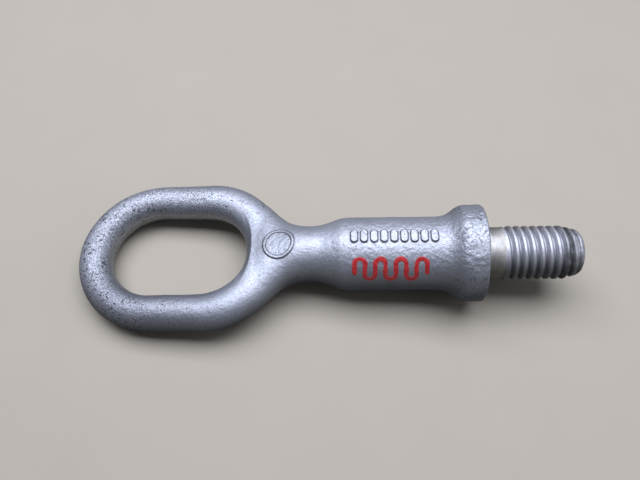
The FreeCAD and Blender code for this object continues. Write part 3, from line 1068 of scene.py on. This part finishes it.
def rolled_thread():
    m = Nodes("rolled_thread")
    m.shader.inputs["Metallic"].default_value = 0.92
    grain = m.noise(0.5, detail=3.0, roughness=0.6)
    cloud = m.noise(3.0, detail=2.0)
    x = m.add("ShaderNodeSeparateXYZ", links={"Vector": m.place}).outputs["X"]
    thinning = m.spread(x, *TIP_BAND_END_X, 1.0, 0.35)
    band = m.combine("MULTIPLY", m.spread(x, *TIP_BAND_START_X), thinning)
    dirt = m.combine("MULTIPLY", band, m.spread(cloud, 0.3, 0.6, 0.35, 1.0))
    tone = m.mix(m.spread(grain, 0.3, 0.7), ROLLED_DARK, ROLLED_BRIGHT)
    # darker roots: painted shade that hides their highlight, and dirt
    tone = m.mix(m.spread(m.number("groove"), 0.6, 0.95, 0, 0.42), tone, ROOT_SHADE_AND_DIRT)
    tone = m.mix(dirt, tone, TIP_DIRT)
    # painted shade on the thread's lower and +Y sides
    tone = m.mix(m.share(m.number("painted_shade"), 0.85), tone, ROLLED_SHADE)
    rough = m.spread(m.combine("ADD", grain, dirt), 0.4, 1.4, 0.60, 0.68)
    height = m.bump(cloud, 0.04)
    m.connect(Base_Color=tone, Roughness=rough, Normal=m.bump(grain, 0.03, under=height))
    return m.material


PAINT_THICK = (0.25, 0.008, 0.012)
PAINT_THIN = (0.385, 0.022, 0.025)
STEEL_THROUGH_PAINT = (0.27, 0.13, 0.14)


def marking_paint():
    m = Nodes("marking_paint")
    m.shader.inputs["Specular IOR Level"].default_value = 0.4
    thin = m.noise(1.1, detail=3.0)
    fine = m.noise(0.35, detail=2.0)
    tone = m.mix(m.spread(thin, 0.35, 0.68), PAINT_THICK, PAINT_THIN)
    tone = m.mix(m.spread(fine, 0.62, 0.8, 0, 0.55), tone, STEEL_THROUGH_PAINT)
    rough = m.spread(thin, 0.3, 0.7, 0.42, 0.56)
    m.connect(Base_Color=tone, Roughness=rough, Normal=m.bump(fine, 0.02))
    return m.material


FLOOR_DARK = (0.25, 0.227, 0.188)
FLOOR_PALE = (0.268, 0.242, 0.202)


def floor_paint():
    m = Nodes("pale_floor")
    m.shader.inputs["Roughness"].default_value = 0.75
    m.connect(Base_Color=m.mix(m.noise(30.0, detail=3.0), FLOOR_DARK, FLOOR_PALE))
    return m.material


# ---------------------------------------------------------------- the scene


# In this section places are in metres and angles in radians.
BOLT_MIDDLE = Vector((-0.05, 0, 0))
ROOM_COLOUR = (0.84, 0.90, 1.0, 1)
ROOM_STRENGTH = 0.14
CAMERA_PLACE = (-0.048454, -0.094457, 0.184557)
CAMERA_TURN = (0.499306, 0.054877, 0.019704)
CAMERA_LENS = 30.375
CAMERA_SENSOR = 36
FLOOR_SIDE = 3
FLOOR_SQUARES = 8
# the steepest lean that is tried, and how often the range of leans is halved
STEEPEST_LEAN = 0.2
HALVINGS = 40
# the shares of the way to the eye's far end where its resting end starts and the collar's stops
FAR_SHARE = 0.7
NEAR_SHARE = 0.2


def resting_tilt(points):
    """The floor's lean and height when the bolt rests on its eye's far end and on its collar."""
    along = points[:, 0] / (FAR_END * MM)
    far, near = points[along > FAR_SHARE], points[along < NEAR_SHARE]
    low, high = 0.0, STEEPEST_LEAN
    for _ in range(HALVINGS):
        lean = (low + high) / 2
        up = np.array([math.sin(lean), 0, math.cos(lean)])
        if (far @ up).min() < (near @ up).min():
            high = lean
        else:
            low = lean
    return lean, (far @ up).min()


def make_floor(points):
    lean, height = resting_tilt(points)
    bpy.ops.mesh.primitive_grid_add(
        x_subdivisions=FLOOR_SQUARES, y_subdivisions=FLOOR_SQUARES, size=FLOOR_SIDE
    )
    floor = bpy.context.object
    floor.name = "floor"
    up = Vector((math.sin(lean), 0, math.cos(lean)))
    floor.location = up * height
    floor.rotation_euler = (0, lean, 0)
    floor.data.materials.append(floor_paint())


def area_light(name, place, size, power, colour):
    """A rectangular lamp that shines at the middle of the bolt."""
    light = bpy.data.lights.new(name, "AREA")
    light.shape = "RECTANGLE"
    light.size, light.size_y = size
    light.energy = power
    light.color = colour
    lamp = bpy.data.objects.new(name, light)
    bpy.context.scene.collection.objects.link(lamp)
    lamp.location = place
    lamp.rotation_euler = (BOLT_MIDDLE - Vector(place)).to_track_quat("-Z", "Y").to_euler()


def light_scene():
    area_light(
        "overhead",
        place=(-0.03, 0.22, 0.78),
        size=(1.2, 0.56),
        power=18.0,
        colour=(0.945, 0.975, 1.085),
    )
    area_light(
        "side",
        place=(0.62, -0.10, 0.30),
        size=(0.5, 0.4),
        power=0.9,
        colour=(0.97, 0.98, 1.05),
    )
    world = bpy.data.worlds.new("studio")
    world.use_nodes = True
    background = world.node_tree.nodes["Background"]
    background.inputs["Color"].default_value = ROOM_COLOUR
    background.inputs["Strength"].default_value = ROOM_STRENGTH
    bpy.context.scene.world = world
    bpy.context.scene.view_settings.view_transform = "Standard"


def place_camera():
    camera = bpy.data.cameras.new("camera")
    camera.sensor_width = CAMERA_SENSOR
    camera.lens = CAMERA_LENS
    eye = bpy.data.objects.new("camera", camera)
    bpy.context.scene.collection.objects.link(eye)
    eye.location = CAMERA_PLACE
    eye.rotation_euler = CAMERA_TURN
    bpy.context.scene.camera = eye


FORGED_NODES = ("eye_bow", "eye_root", "neck", "shank", "collar")


def place_pieces():
    """Make the pieces, hang each on the root body and hide the CAD parts that it replaces."""
    pieces = [
        (make_forging(forged_skin()), "forged_skin", FORGED_NODES),
        (make_relief(turned_steel()), "turned_steel", ("thread_relief",)),
        (make_threaded_end(rolled_thread()), "rolled_thread", ("thread", "tip")),
        (make_paint(marking_paint()), "marking_paint", ("paint_mark",)),
    ]
    for piece, slot, nodes in pieces:
        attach(piece, "root")
        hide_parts(*nodes)
    return [piece for piece, _, _ in pieces]


pieces = place_pieces()
make_floor(np.concatenate([read_points(piece.data) for piece in pieces]))
light_scene()
place_camera()
